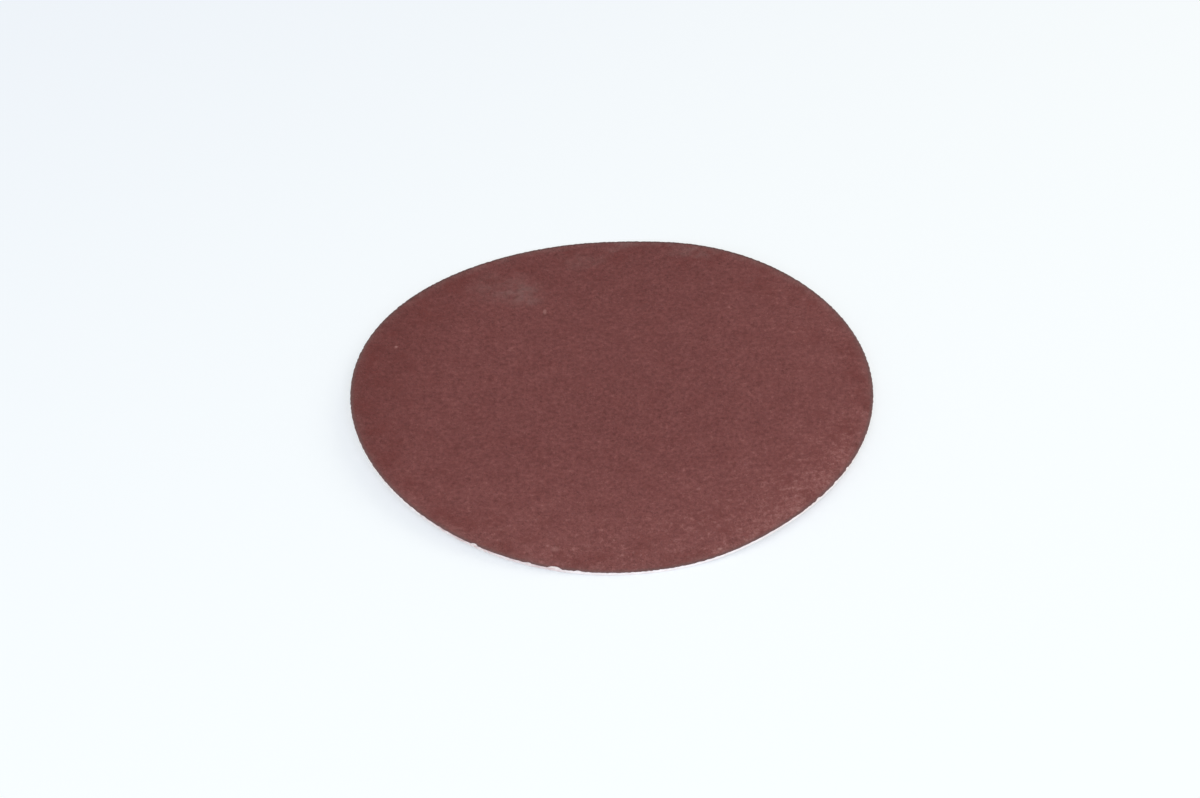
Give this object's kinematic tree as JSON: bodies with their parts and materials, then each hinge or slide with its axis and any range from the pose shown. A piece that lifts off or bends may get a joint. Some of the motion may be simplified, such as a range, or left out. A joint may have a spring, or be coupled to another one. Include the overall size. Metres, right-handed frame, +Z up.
{
  "type": "sanding disc",
  "caption": "Round abrasive sheet: red-brown grain coat on a pale backing, curled along one axis, for sanding wood and metal on a flat pad.",
  "frame": {"origin": "middle of the disc, on the plane that it rests on", "axes": "+Z up, out of the grain side; the resting strip runs near Y, turned 7.3 degrees from it, and the higher rim is towards -X"},
  "size_m": [0.125, 0.125, 0.0054],
  "materials": {
    "abrasive_coat": "matt, fine rough grain in red-brown resin",
    "backing": "matt, pale, brushed loop pile underneath"
  },
  "bodies": {
    "root": {"abrasive_coat": "abrasive_coat", "backing": "backing"}
  },
  "joints": []
}
